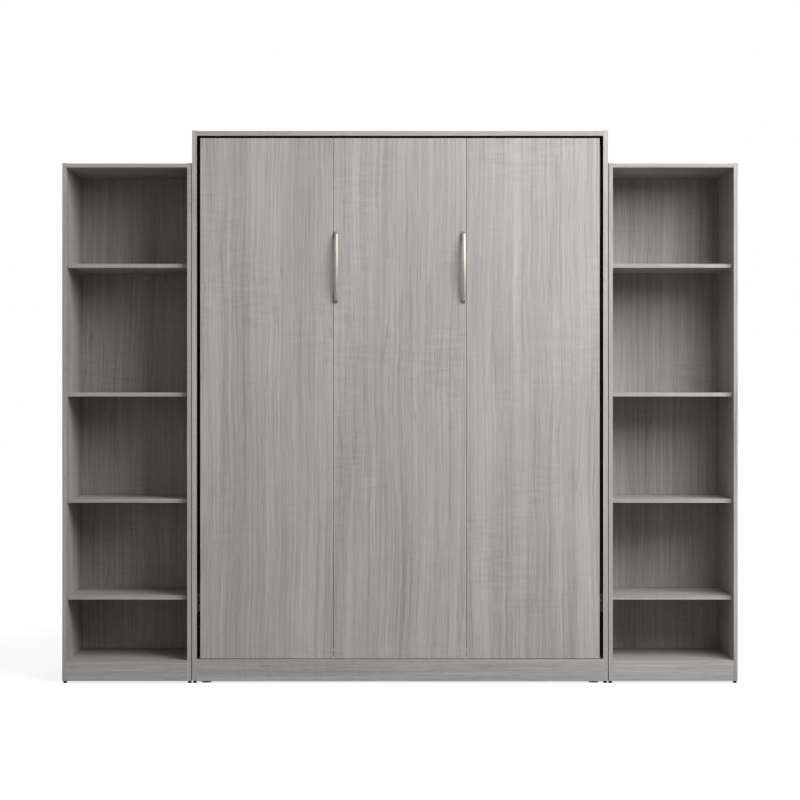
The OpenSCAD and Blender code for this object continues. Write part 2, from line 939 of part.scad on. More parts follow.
// Draws along the piston, from its upper pin at 0 to its lower pin at piston_long
module along_piston() {
    run = piston_low - piston_top;
    translate([piston_x, front_y + piston_top[0], piston_top[1]])
        rotate([atan2(-run[0], run[1]), 0, 0])
            children();
}

module piston_cylinder(side) {
    color(BLACK)
        hand(side)
            difference() {
                union() {
                    bar_x(piston_x - piston_eye_t / 2, piston_x + piston_eye_t / 2,
                          piston_top, piston_eye_r);
                    along_piston()
                        cylinder(h = cylinder_neck, r = cylinder_neck_r);
                    along_piston()
                        translate([0, 0, piston_r + 3])
                            cylinder(h = cylinder_l - piston_r - 3, r = piston_r);
                }
                bar_x(piston_x - piston_eye_t / 2 - 1, piston_x + piston_eye_t / 2 + 1,
                      piston_top, piston_pin_r + pin_play);
                along_piston()
                    translate([0, 0, cylinder_neck])
                        cylinder(h = cylinder_l - gland_l - cylinder_neck, r = piston_r - cylinder_wall);
                along_piston()
                    translate([0, 0, cylinder_neck])
                        cylinder(h = cylinder_l, r = piston_rod_r + pin_play);
            }
}

module piston_cylinder_left() piston_cylinder(-1);
module piston_cylinder_right() piston_cylinder(1);

// The bolt in the rod's eye stops just short of the bed's bracket: the open pivot
module piston_rod(side) {
    bolt_gap = 1.2;
    bracket_face = rail_in + 5;
    color(NICKEL)
        hand(side)
            union() {
                bar_x(piston_x - piston_eye_t / 2, piston_x + piston_eye_t / 2,
                      piston_low, piston_eye_r);
                bar_x(bracket_face + bolt_gap, piston_x, piston_low, piston_pin_r);
                along_piston()
                    translate([0, 0, piston_long - rod_l])
                        cylinder(h = rod_l, r = piston_rod_r);
            }
}

module piston_rod_left() piston_rod(-1);
module piston_rod_right() piston_rod(1);

// ---- Towers ----

module shelf_pin(x, dir, b, shelf_top) {
    bar_x(dir > 0 ? x - pin_reach : x - pin_hole_depth, dir > 0 ? x + pin_hole_depth : x + pin_reach,
          [b, shelf_top - tower_t - pin_hole_r], pin_hole_r);
}

// Rows of holes round each adjustable shelf, so that it can go up or down a step
module pin_holes(x0) {
    for (z = loose_shelf_z, step = [-1, 0, 1], b = [pin_front_b, pin_rear_b])
        bar_x(x0, x0 + pin_hole_depth + 1,
              [b, z - tower_t - pin_hole_r + step * pin_pitch], pin_hole_r);
}

// A side board with a groove for the back panel, cut from groove_x0
module tower_side_board(x0, groove_x0) {
    difference() {
        slab(x0, x0 + tower_t, 0, tower_depth, foot_h, tower_h);
        slab(groove_x0, groove_x0 + back_groove + 1, back_b0, back_b0 + back_t,
             foot_h - 1, tower_h + 1);
    }
}

module tower_outer_side(side) {
    color(WOOD)
        hand(side)
            difference() {
                tower_side_board(shelf_x1, shelf_x1 - 1);
                pin_holes(shelf_x1 - 1);
            }
}

module tower_inner_side(side) {
    color(WOOD)
        hand(side)
            difference() {
                tower_side_board(tower_in, shelf_x0 - back_groove);
                pin_holes(shelf_x0 - pin_hole_depth);
            }
}

module tower_board(side, z_top, b0, b1, play) {
    color(WOOD)
        hand(side)
            slab(shelf_x0 + play, shelf_x1 - play, b0, b1, z_top - tower_t, z_top);
}

module tower_top(side) tower_board(side, tower_h - top_drop, 0, back_b0, 0);
module tower_bottom(side) tower_board(side, tower_floor_z, kick_t, back_b0, 0);
module tower_fixed_shelf(side) tower_board(side, shelf_fixed_z, shelf_recess, back_b0, 0);
module tower_shelf(side, z) tower_board(side, z, shelf_recess, back_b0 - shelf_play, shelf_play);

module tower_kick_board(side) {
    color(WOOD)
        hand(side)
            slab(shelf_x0, shelf_x1, 0, kick_t, kick_z0, tower_floor_z);
}

module tower_back(side) {
    color(WOOD)
        hand(side)
            slab(shelf_x0 - back_groove, shelf_x1 + back_groove, back_b0, back_b0 + back_t,
                 foot_h, tower_h - top_drop);
}

module left_tower_outer_side() tower_outer_side(-1);
module left_tower_inner_side() tower_inner_side(-1);
module left_tower_top() tower_top(-1);
module left_tower_bottom() tower_bottom(-1);
module left_tower_fixed_shelf() tower_fixed_shelf(-1);
module left_tower_shelf_low() tower_shelf(-1, shelf_low_z);
module left_tower_shelf_mid() tower_shelf(-1, shelf_mid_z);
module left_tower_shelf_high() tower_shelf(-1, shelf_high_z);
module left_tower_kick_board() tower_kick_board(-1);
module left_tower_back() tower_back(-1);

module right_tower_outer_side() tower_outer_side(1);
module right_tower_inner_side() tower_inner_side(1);
module right_tower_top() tower_top(1);
module right_tower_bottom() tower_bottom(1);
module right_tower_fixed_shelf() tower_fixed_shelf(1);
module right_tower_shelf_low() tower_shelf(1, shelf_low_z);
module right_tower_shelf_mid() tower_shelf(1, shelf_mid_z);
module right_tower_shelf_high() tower_shelf(1, shelf_high_z);
module right_tower_kick_board() tower_kick_board(1);
module right_tower_back() tower_back(1);

module shelf_pins() {
    color(NICKEL)
        both()
            for (z = loose_shelf_z, b = [pin_front_b, pin_rear_b]) {
                shelf_pin(shelf_x0, -1, b, z);
                shelf_pin(shelf_x1, 1, b, z);
            }
}

cabinet_side_left();
cabinet_side_right();
cabinet_top();
base_rail();
corner_blocks();
wall_rail();
headboard_panel();
edge_liners();
pivot_plates();
pivot_bushes();
bed_stops();
feet();
cabinet_screws();
face_panel_left();
face_panel_center();
face_panel_right();
frame_rail_left();
frame_rail_right();
frame_end_rails();
frame_center_beam();
slats();
slat_holders();
mattress();
mattress_straps();
handle_left();
handle_right();
bed_screws();
bed_pivot_pins();
piston_brackets();
leg_left();
leg_right();
leg_foot_left();
leg_foot_right();
tie_rod_left();
tie_rod_right();
piston_cylinder_left();
piston_cylinder_right();
piston_rod_left();
piston_rod_right();
left_tower_outer_side();
left_tower_inner_side();
left_tower_top();
left_tower_bottom();
left_tower_fixed_shelf();
left_tower_shelf_low();
left_tower_shelf_mid();
left_tower_shelf_high();
left_tower_kick_board();
left_tower_back();
right_tower_outer_side();
right_tower_inner_side();
right_tower_top();
right_tower_bottom();
right_tower_fixed_shelf();
right_tower_shelf_low();
right_tower_shelf_mid();
right_tower_shelf_high();
right_tower_kick_board();
right_tower_back();
shelf_pins();
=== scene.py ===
import math

import bmesh
import bpy
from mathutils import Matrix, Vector


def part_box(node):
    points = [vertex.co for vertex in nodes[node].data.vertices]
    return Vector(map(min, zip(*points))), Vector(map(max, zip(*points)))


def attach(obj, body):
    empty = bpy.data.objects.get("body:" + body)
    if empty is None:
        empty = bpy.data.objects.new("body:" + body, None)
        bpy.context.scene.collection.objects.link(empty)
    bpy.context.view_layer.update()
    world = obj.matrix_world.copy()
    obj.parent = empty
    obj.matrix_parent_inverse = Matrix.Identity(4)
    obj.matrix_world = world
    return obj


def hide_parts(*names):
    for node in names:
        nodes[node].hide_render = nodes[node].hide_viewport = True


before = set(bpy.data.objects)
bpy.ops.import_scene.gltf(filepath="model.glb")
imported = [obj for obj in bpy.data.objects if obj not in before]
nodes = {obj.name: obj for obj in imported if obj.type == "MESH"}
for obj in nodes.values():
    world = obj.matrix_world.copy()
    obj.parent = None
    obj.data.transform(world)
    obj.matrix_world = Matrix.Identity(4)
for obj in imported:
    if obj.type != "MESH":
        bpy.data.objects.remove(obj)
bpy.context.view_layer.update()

scene = bpy.context.scene
scene.view_settings.view_transform = "Standard"

# Lengths are in metres. Colours are linear, from 0 to 1.


# ---------------------------------------------------------------- camera

CAMERA_BACK = 7.67        # from the boards' front edges
CAMERA_HEIGHT = 1.134
LENS_MM = 86.3
SENSOR_MM = 36

front_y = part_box("cabinet_side_left")[0].y
camera = bpy.data.objects.new("camera", bpy.data.cameras.new("camera"))
camera.location = (0, front_y - CAMERA_BACK, CAMERA_HEIGHT)
camera.rotation_euler = (math.radians(90), 0, 0)
camera.data.lens = LENS_MM
camera.data.sensor_width = SENSOR_MM
camera.data.clip_end = 100
scene.collection.objects.link(camera)
scene.camera = camera


# ---------------------------------------------------------------- node helpers

class Graph:
    """Builds one material's nodes. Sockets go in, sockets come out."""

    def __init__(self, name):
        self.material = bpy.data.materials.new(name)
        self.material.use_nodes = True
        self.tree = self.material.node_tree
        self.shader = self.tree.nodes["Principled BSDF"]

    def node(self, kind, **settings):
        made = self.tree.nodes.new(kind)
        for key, value in settings.items():
            setattr(made, key, value)
        return made

    def put(self, value, socket):
        if isinstance(value, bpy.types.NodeSocket):
            self.tree.links.new(value, socket)
        else:
            socket.default_value = value

    def math(self, operation, a, b=0.0):
        made = self.node("ShaderNodeMath", operation=operation)
        self.put(a, made.inputs[0])
        self.put(b, made.inputs[1])
        return made.outputs[0]

    def add_scaled(self, base, value, factor):
        """base + value * factor"""
        made = self.node("ShaderNodeMath", operation="MULTIPLY_ADD")
        for item, socket in zip((value, factor, base), made.inputs):
            self.put(item, socket)
        return made.outputs[0]

    def wave(self, value, pitch):
        """A sine that repeats every pitch."""
        return self.math("SINE", self.math("MULTIPLY", value, 2 * math.pi / pitch))

    def off_from(self, value, middle):
        """How far a value is from the middle, either way."""
        return self.math("ABSOLUTE", self.math("SUBTRACT", value, middle))

    def position(self):
        return self.node("ShaderNodeTexCoord").outputs["Object"]

    def axes(self, vector):
        made = self.node("ShaderNodeSeparateXYZ")
        self.put(vector, made.inputs[0])
        return made.outputs

    def combine(self, x, y, z):
        made = self.node("ShaderNodeCombineXYZ")
        for value, socket in zip((x, y, z), made.inputs):
            self.put(value, socket)
        return made.outputs[0]

    def scaled(self, vector, scale, shift=(0, 0, 0)):
        made = self.node("ShaderNodeVectorMath", operation="MULTIPLY_ADD")
        self.put(vector, made.inputs[0])
        made.inputs[1].default_value = scale
        made.inputs[2].default_value = shift
        return made.outputs[0]

    def noise(self, vector, scale=1.0, detail=2.0, rough=0.5, distortion=0.0):
        made = self.node("ShaderNodeTexNoise")
        self.put(vector, made.inputs["Vector"])
        made.inputs["Scale"].default_value = scale
        made.inputs["Detail"].default_value = detail
        made.inputs["Roughness"].default_value = rough
        made.inputs["Distortion"].default_value = distortion
        return made.outputs["Fac"]

    def remap(self, value, low, high, to_low=0.0, to_high=1.0, smooth=False):
        made = self.node("ShaderNodeMapRange")
        if smooth:
            made.interpolation_type = "SMOOTHSTEP"
        for socket, item in zip(made.inputs, (value, low, high, to_low, to_high)):
            self.put(item, socket)
        return made.outputs[0]

    def spread(self, value, to_low, to_high):
        """Stretches a noise's usual range, about 0.3 to 0.7, over another."""
        return self.remap(value, 0.3, 0.7, to_low, to_high)

    def mix(self, factor, a, b):
        made = self.node("ShaderNodeMix", data_type="RGBA")
        self.put(factor, made.inputs["Factor"])
        for key, value in (("A", a), ("B", b)):
            socket = [s for s in made.inputs if s.name == key and s.type == "RGBA"][0]
            self.put((*value, 1.0), socket)
        return [s for s in made.outputs if s.type == "RGBA"][0]

    def tint(self, colour, factor):
        """Multiplies a colour by a number."""
        made = self.node("ShaderNodeVectorMath", operation="SCALE")
        self.put(colour, made.inputs[0])
        self.put(factor, made.inputs["Scale"])
        return made.outputs[0]

    def bump(self, height, depth, strength=1.0):
        made = self.node("ShaderNodeBump")
        made.inputs["Strength"].default_value = strength
        made.inputs["Distance"].default_value = depth
        self.put(height, made.inputs["Height"])
        return made.outputs[0]

    def finish(self, colour, roughness, normal=None, **constants):
        self.put(colour if isinstance(colour, bpy.types.NodeSocket) else (*colour, 1.0),
                 self.shader.inputs["Base Color"])
        self.put(roughness, self.shader.inputs["Roughness"])
        if normal is not None:
            self.put(normal, self.shader.inputs["Normal"])
        for key, value in constants.items():
            self.shader.inputs[key.replace("_", " ")].default_value = value
        return self.material


def dress(node_name, material):
    """Gives a carried-over CAD node its material."""
    data = nodes[node_name].data
    data.materials.clear()
    data.materials.append(material)


def soften(node_name, width):
    """Rounds a CAD node's edges in the render, with modifiers only."""
    piece = nodes[node_name]
    weld = piece.modifiers.new("weld", "WELD")
    weld.merge_threshold = 0.00002
    bevel = piece.modifiers.new("bevel", "BEVEL")
    bevel.width = width
    bevel.segments = 2
    bevel.limit_method = "ANGLE"
    bevel.angle_limit = math.radians(40)
    bevel.harden_normals = True


# ---------------------------------------------------------------- wood-grain laminate

LAMINATE = (0.314, 0.298, 0.287)
COOLER = (0.991, 1.0, 1.009)      # the two ends of the print's slow change of hue
WARMER = (1.010, 1.0, 0.988)
BACK_PAINTED_SHADE = 0.88                  # the thin back panels are painted a little darker: painted shade for the deep towers' insides
BOARD_BEVEL = 0.0007

# Which of X, Y and Z runs across the grain, through the figure and along the grain
GRAIN = {"Z": (0, 1, 2), "X": (1, 2, 0)}

# Each layer's noise: cycles per metre across, through and along the grain, detail, roughness
LAYERS = {
    "sway": ((2.2, 2.2, 1.1), 2.0, 0.5),
    "wobble": ((10, 10, 11), 2.0, 0.5),
    "bands": ((12, 12, 0.35), 2.0, 0.5),
    "streaks": ((105, 105, 1.2), 4.0, 0.6),
    "fibres": ((420, 420, 9), 3.0, 0.6),
    "pores": ((800, 800, 26), 1.0, 0.5),
    "blotch": ((2.4, 2.4, 1.4), 2.0, 0.5),
    "rings": ((24, 24, 0.62), 1.0, 0.5),
    "ring_patch": ((6, 6, 0.9), 2.0, 0.5),
    "ripple": ((14, 14, 85), 2.0, 0.5),
    "ripple_patch": ((3, 3, 2.6), 2.0, 0.5),
    "warmth": ((14, 14, 0.6), 2.0, 0.5),
    "wear": ((90, 90, 90), 3.0, 0.5),
}
SWAY = 0.06                       # how far the grain wanders, slowly and quickly
WOBBLE = 0.009
RINGS_EACH = 4.0                  # growth steps in one swing of the ring noise
RING_LINE = 0.013                 # half width of a dark ring line, in ring noise

# How much each layer lightens the board, first about its middle value, then from none
SWINGS = {"bands": 0.54, "streaks": 0.76, "fibres": 0.62, "blotch": 0.22, "growth": 0.05}
RIPPLE_WEIGHT = 0.30
RING_WEIGHT = -0.19
PORE_WEIGHT = -0.10
WORN_WEIGHT = 0.10
JOINT_WEIGHT = -0.12
JOINT_IN = 0.0011                 # the edge band's joint line, inside the board's edge
JOINT_HALF = 0.0003


def rim(g, axes, low, high):
    """Distance to the board's nearest edge: the sum of the two smaller distances to its faces."""
    gaps = []
    for place, a, b in zip(axes, low, high):
        gaps.append(g.math("SUBTRACT", (b - a) / 2, g.off_from(place, (a + b) / 2)))
    total = g.math("ADD", g.math("ADD", gaps[0], gaps[1]), gaps[2])
    widest = g.math("MAXIMUM", g.math("MAXIMUM", gaps[0], gaps[1]), gaps[2])
    return g.math("SUBTRACT", total, widest)


def laminate(name, grain, seed, box, tone):
    """Grey printed wood grain along one axis, different on each board by its seed."""
    g = Graph(name)
    xyz = g.axes(g.position())
    across, deep, along = (xyz[i] for i in GRAIN[grain])
    shift = (3.7 * seed, 1.9 * seed, 5.3 * seed)

    def layer(key, where, moved_by=shift):
        scale, detail, rough = LAYERS[key]
        return g.noise(g.scaled(where, scale, moved_by), detail=detail, rough=rough)

    place = g.combine(across, deep, along)
    moved = g.add_scaled(across, layer("sway", place), SWAY)
    moved = g.add_scaled(moved, layer("wobble", place), WOBBLE)
    wavy = g.combine(moved, deep, along)
    rings = layer("rings", wavy)
    swings = {
        "bands": layer("bands", wavy),
        "streaks": layer("streaks", wavy),
        "fibres": layer("fibres", wavy),
        "blotch": layer("blotch", place),
        "growth": g.math("FRACT", g.math("MULTIPLY", rings, RINGS_EACH)),
    }
    shade = tone
    for key, weight in SWINGS.items():
        shade = g.add_scaled(shade, g.math("SUBTRACT", swings[key], 0.5), weight)

    # Cross ripple and dark ring lines, each in patches, and short dark pores
    ripple = g.math("SUBTRACT", layer("ripple", place), 0.5)
    ripple_patch = g.remap(layer("ripple_patch", place), 0.42, 0.64, smooth=True)
    shade = g.add_scaled(shade, g.math("MULTIPLY", ripple, ripple_patch), RIPPLE_WEIGHT)
    ring_line = g.remap(g.off_from(rings, 0.5), 0.0, RING_LINE, 1.0, 0.0)
    ring_patch = g.remap(layer("ring_patch", wavy), 0.44, 0.60, smooth=True)
    shade = g.add_scaled(shade, g.math("MULTIPLY", ring_line, ring_patch), RING_WEIGHT)
    pore = g.remap(layer("pores", wavy), 0.62, 0.72)
    shade = g.add_scaled(shade, pore, PORE_WEIGHT)

    warmth = layer("warmth", wavy, (shift[2], shift[0], shift[1]))
    hue = g.mix(g.remap(warmth, 0.35, 0.65), [c * k for c, k in zip(LAMINATE, COOLER)],
                [c * k for c, k in zip(LAMINATE, WARMER)])

    # Edge banding: a fine joint line just inside each edge, and paler, duller wear on the arris
    edge = rim(g, xyz, *box)
    worn = g.remap(g.add_scaled(edge, layer("wear", place), -0.0012), -0.0004, 0.0007, 1.0, 0.0)
    joint = g.remap(g.off_from(edge, JOINT_IN), 0.0, JOINT_HALF, 1.0, 0.0)
    shade = g.add_scaled(g.add_scaled(shade, worn, WORN_WEIGHT), joint, JOINT_WEIGHT)
    roughness = g.add_scaled(g.spread(swings["streaks"], 0.58, 0.47), worn, 0.12)
    relief = g.add_scaled(g.add_scaled(swings["fibres"], pore, -0.5), joint, -0.4)
    return g.finish(g.tint(hue, shade), roughness, g.bump(relief, 0.00022, 0.6),
                    Specular_IOR_Level=0.42)


boards = {
    "cabinet_side_left": "Z", "cabinet_side_right": "Z", "cabinet_top": "X", "base_rail": "X",
    "wall_rail": "X", "headboard_panel": "X",
    "face_panel_left": "Z", "face_panel_center": "Z", "face_panel_right": "Z",
}
for side in ("left", "right"):
    for name in ("outer_side", "inner_side", "back"):
        boards[f"{side}_tower_{name}"] = "Z"
    for name in ("top", "bottom", "fixed_shelf", "shelf_low", "shelf_mid", "shelf_high",
                 "kick_board"):
        boards[f"{side}_tower_{name}"] = "X"
for seed, (name, grain) in enumerate(boards.items(), start=1):
    # The tower backs get a lower tone: painted shade for the dim insides of the deep towers.
    tone = BACK_PAINTED_SHADE if name.endswith("_back") else 1.0
    dress(name, laminate("laminate_" + name, grain, seed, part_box(name), tone))
    soften(name, BOARD_BEVEL)


# ---------------------------------------------------------------- other materials

def powder_coat(name, colour, roughness=0.45):
    """Painted steel: fine orange peel, with dust in the colour."""
    g = Graph(name)
    place = g.position()
    peel = g.noise(place, scale=900)
    wear = g.noise(place, scale=14, detail=5.0, rough=0.6)
    return g.finish(g.tint(colour, g.spread(wear, 0.86, 1.16)),
                    g.spread(wear, roughness - 0.06, roughness + 0.08),
                    g.bump(peel, 0.00012, 0.6), Specular_IOR_Level=0.5)


def brushed(name, colour, axis, roughness):
    """Metal with fine brush lines along one axis."""
    g = Graph(name)
    stretch = [700, 700, 700]
    stretch["XYZ".index(axis)] = 14
    lines = g.noise(g.scaled(g.position(), stretch), detail=3.0)
    smudge = g.noise(g.position(), scale=22, detail=3.0)
    shade = g.math("MULTIPLY", g.spread(lines, 0.9, 1.1), g.spread(smudge, 0.94, 1.05))
    rough = g.math("ADD", g.spread(lines, roughness - 0.05, roughness + 0.07),
                   g.remap(smudge, 0.4, 0.7, 0.0, 0.06))
    return g.finish(g.tint(colour, shade), rough, g.bump(lines, 0.00004, 0.5), Metallic=1.0)


def moulded(name, colour, roughness, grain_size=1500):
    """Moulded plastic or rubber with a fine spark-eroded grain."""
    g = Graph(name)
    place = g.position()
    grain = g.noise(place, scale=grain_size)
    mottle = g.noise(place, scale=60, detail=3.0)
    return g.finish(g.tint(colour, g.spread(mottle, 0.88, 1.14)),
                    g.spread(mottle, roughness - 0.07, roughness + 0.07),
                    g.bump(grain, 0.00008, 0.5))


def felt(name, colour):
    """Black needled felt. On the liners in the gaps round the face, its near black also stands in
    for the shade in those gaps: painted shade.
    """
    g = Graph(name)
    place = g.position()
    fuzz = g.noise(place, scale=800, detail=6.0, rough=0.75)
    patch = g.noise(place, scale=9)
    shade = g.math("MULTIPLY", g.spread(fuzz, 0.6, 1.4), g.spread(patch, 0.9, 1.1))
    return g.finish(g.tint(colour, shade), 0.95, g.bump(fuzz, 0.0006, 0.8),
                    Specular_IOR_Level=0.1)


def bent_ply(name):
    """Birch slat: pale grain along X, with glue lines through the thickness."""
    g = Graph(name)
    place = g.position()
    grain = g.noise(g.scaled(place, (2.5, 160, 160)), detail=5.0, rough=0.62)
    flame = g.noise(g.scaled(place, (1.2, 18, 22)), detail=3.0, distortion=0.7)
    ply_pitch = 0.0018
    glue = g.remap(g.wave(g.axes(place)[1], ply_pitch), 0.75, 0.95, 1.0, 0.72)
    pale = g.mix(g.remap(flame, 0.35, 0.65), (0.60, 0.42, 0.245), (0.72, 0.54, 0.34))
    shade = g.math("MULTIPLY", g.spread(grain, 0.86, 1.1), glue)
    return g.finish(g.tint(pale, shade), g.spread(grain, 0.42, 0.55), g.bump(grain, 0.0002, 0.4))


def pine(name):
    """Planed softwood with its rings along X."""
    g = Graph(name)
    rings = g.noise(g.scaled(g.position(), (6, 90, 90)), detail=4.0, distortion=0.5)
    return g.finish(g.mix(g.remap(rings, 0.35, 0.65), (0.50, 0.33, 0.17), (0.66, 0.48, 0.28)),
                    0.6, g.bump(rings, 0.0003, 0.5))


def webbing(name, colour):
    """Elastic webbing: ribs that run along the strap, across Z, and a fine weave over them."""
    g = Graph(name)
    x, y, z = g.axes(g.position())
    ribs = g.wave(z, 0.0022)
    picks = g.wave(g.math("ADD", x, y), 0.0013)
    weave = g.math("ADD", g.math("MULTIPLY", ribs, 0.6), g.math("MULTIPLY", picks, 0.4))
    return g.finish(g.tint(colour, g.remap(weave, -1.0, 1.0, 0.6, 1.5)), 0.8,
                    g.bump(weave, 0.0005, 0.8))


BLACK_STEEL = powder_coat("black_powder_coat", (0.024, 0.024, 0.026))
PLATE_STEEL = powder_coat("plate_powder_coat", (0.045, 0.045, 0.047), 0.38)
PISTON_BLACK = powder_coat("piston_gloss_black", (0.012, 0.012, 0.013), 0.22)
SCREW_STEEL = brushed("screw_steel", (0.46, 0.46, 0.45), "X", 0.3)
ROD_STEEL = brushed("rod_chrome", (0.72, 0.72, 0.72), "Z", 0.12)
PIN_NICKEL = brushed("pin_nickel", (0.60, 0.58, 0.53), "X", 0.25)
HANDLE_NICKEL = brushed("handle_satin_nickel", (0.42, 0.405, 0.36), "Z", 0.52)
RUBBER = moulded("black_rubber", (0.018, 0.018, 0.018), 0.75, 700)
PLASTIC = moulded("black_plastic", (0.02, 0.02, 0.021), 0.5)
NYLON = moulded("black_nylon", (0.035, 0.035, 0.036), 0.5)
# Near-black felt for the edge liners. It also stands in for the shade in the gaps round the face:
# painted shade.
FELT_GAP_SHADE = felt("liner_felt_gap_shade", (0.006, 0.006, 0.0065))

# Each other node's material, and how far its edges are rounded
finishes = {
    "corner_blocks": (pine("corner_pine"), 0.001),
    "edge_liners": (FELT_GAP_SHADE, 0),
    "pivot_plates": (PLATE_STEEL, 0.0006),
    "pivot_bushes": (NYLON, 0.0005),
    "bed_stops": (RUBBER, 0.003),
    "feet": (PLASTIC, 0.001),
    "cabinet_screws": (SCREW_STEEL, 0),
    "frame_end_rails": (BLACK_STEEL, 0.0012),
    "frame_center_beam": (BLACK_STEEL, 0.0015),
    "slats": (bent_ply("birch_slats"), 0.0025),
    "slat_holders": (PLASTIC, 0.001),
    "mattress_straps": (webbing("strap_webbing", (0.022, 0.022, 0.024)), 0.0008),
    "bed_screws": (SCREW_STEEL, 0),
    "bed_pivot_pins": (PLATE_STEEL, 0.0006),
    "piston_brackets": (PLATE_STEEL, 0.0006),
    "shelf_pins": (PIN_NICKEL, 0.0004),
}
for side in ("left", "right"):
    finishes.update({
        "frame_rail_" + side: (BLACK_STEEL, 0.0015),
        "handle_" + side: (HANDLE_NICKEL, 0.0012),
        "leg_" + side: (BLACK_STEEL, 0.0006),
        "leg_foot_" + side: (RUBBER, 0.0006),
        "tie_rod_" + side: (BLACK_STEEL, 0.0005),
        "piston_cylinder_" + side: (PISTON_BLACK, 0),
        "piston_rod_" + side: (ROD_STEEL, 0),
    })
for name, (material, bevel) in finishes.items():
    dress(name, material)
    if bevel:
        soften(name, bevel)


# ---------------------------------------------------------------- mattress covering

QUILT = 0.19              # a quilted diamond's diagonal
THREAD = 0.0016           # one knitted loop
STITCH = 0.009            # one stitch and the space after it
TICKING = (0.80, 0.785, 0.745)
STITCH_COLOUR = (0.50, 0.49, 0.47)
PIPING_COLOUR = (0.62, 0.61, 0.585)


def knitted(g, x, y, z):
    """The cover's small interlocked loops, from about -1.4 to 1.4."""
    loops = g.math("MULTIPLY", g.wave(g.math("ADD", x, z), THREAD),
                   g.wave(g.math("SUBTRACT", x, z), THREAD))
    return g.add_scaled(loops, g.wave(y, THREAD), 0.4)


def plain_ticking(name, colour):
    """Knitted tape with a faint sheen."""
    g = Graph(name)
    knit = knitted(g, *g.axes(g.position()))
    cloud = g.noise(g.position(), scale=6, detail=4.0)
    shade = g.math("MULTIPLY", g.remap(knit, -1.4, 1.4, 0.9, 1.05), g.spread(cloud, 0.96, 1.03))
    return g.finish(g.tint(colour, shade), 0.85, g.bump(knit, 0.0004, 0.5),
                    Sheen_Weight=0.25, Sheen_Roughness=0.5)


def quilted_ticking(name):
    """Knitted cover with stitched diagonal seams on its two faces and one seam round its band."""
    g = Graph(name)
    x, y, z = g.axes(g.position())
    knit = knitted(g, x, y, z)
    off_middle = g.math("ABSOLUTE", y)
    face = g.remap(off_middle, 0.085, 0.088)
    seams = []
    for across, along in (("ADD", "SUBTRACT"), ("SUBTRACT", "ADD")):
        slant = g.math("MULTIPLY", g.math(across, x, z), 1 / QUILT)
        near = g.math("MULTIPLY", g.math("PINGPONG", slant, 0.5), QUILT / math.sqrt(2))
        dash = g.remap(g.wave(g.math(along, x, z), STITCH), -0.5, 0.1)
        seams.append((near, dash))
    groove = g.math("MINIMUM", seams[0][0], seams[1][0])
    groove = g.math("MULTIPLY", g.remap(groove, 0.0, 0.006, 1.0, 0.0, smooth=True), face)
    band = g.math("MULTIPLY", g.remap(off_middle, 0.0, 0.005, 1.0, 0.0, smooth=True),
                  g.math("SUBTRACT", 1.0, face))
    groove = g.math("MAXIMUM", groove, band)
    stitch = 0.0
    for near, dash in seams:
        line = g.remap(near, 0.0006, 0.001, 1.0, 0.0)
        stitch = g.math("MAXIMUM", stitch, g.math("MULTIPLY", line, dash))
    stitch = g.math("MULTIPLY", stitch, face)
    # A leaf figure knitted into the panels
    leaf = g.noise(g.scaled(g.position(), (22, 22, 22)), detail=1.0, distortion=1.6)
    leaf = g.remap(g.off_from(leaf, 0.5), 0.02, 0.045, 1.0, 0.0)
    cloud = g.noise(g.position(), scale=5, detail=4.0)
    shade = g.math("MULTIPLY", g.remap(knit, -1.4, 1.4, 0.93, 1.03), g.spread(cloud, 0.96, 1.03))
    # The seam grooves and the band seam are also painted darker in colour: painted shade in the
    # quilting creases, on top of their real relief.
    shade = g.add_scaled(g.add_scaled(shade, groove, -0.10), leaf, -0.035)
    height = g.add_scaled(g.add_scaled(g.math("MULTIPLY", knit, 0.10), groove, -1.0), leaf, 0.10)
    height = g.add_scaled(height, stitch, 0.35)
    return g.finish(g.tint(g.mix(stitch, TICKING, STITCH_COLOUR), shade), 0.85,
                    g.bump(height, 0.003, 0.7), Sheen_Weight=0.25, Sheen_Roughness=0.5)


# ---------------------------------------------------------------- mattress

MATTRESS_SIDE = 0.006     # how far the unstuffed cover starts inside the CAD solid's sides
MATTRESS_FACE = 0.011     # and inside its two faces
MATTRESS_CORNER = 0.05
KEEP_INSIDE = 0.0008      # how far the stuffed cover stays inside the CAD solid
VOXEL = 0.02
FACE_DEPTH = 0.004        # points this near a face's plane belong to it
RIM_WIDTH = 0.012         # points this near a rim are held
BAND_HALF = 0.011         # and this near the seam round the band
SEAM_HALF = 0.0095        # and this near a quilting seam
SWELL = 0.0095            # the most that any point may move
SWELL_FRAMES = 20
PIPING_R = 0.0062
PIPING_IN = 0.0035        # how far the piping lies inside the CAD solid's sides
PIPING_SIDES = 10


def seam_distance(across, along):
    """Distance to the nearest quilting seam, two families of diagonals."""
    near = []
    for slant in (across + along, across - along):
        near.append(abs((slant / QUILT + 0.5) % 1 - 0.5) * QUILT / math.sqrt(2))
    return min(near)


def rounded_loop(half_x, half_z, radius, steps):
    """Points round a rounded rectangle, counted from the top of its right side."""
    points = []
    for turn, (sx, sz) in enumerate(((1, 1), (-1, 1), (-1, -1), (1, -1))):
        for i in range(steps + 1):
            angle = math.radians(90 * (turn + i / steps))
            points.append((sx * (half_x - radius) + radius * math.cos(angle),
                           sz * (half_z - radius) + radius * math.sin(angle)))
    return points


def mesh_object(name, verts, faces, material):
    mesh = bpy.data.meshes.new(name)
    mesh.from_pydata(verts, [], faces)
    mesh.materials.append(material)
    mesh.update()
    made = bpy.data.objects.new(name, mesh)
    scene.collection.objects.link(made)
    for face in mesh.polygons:
        face.use_smooth = True
    return made


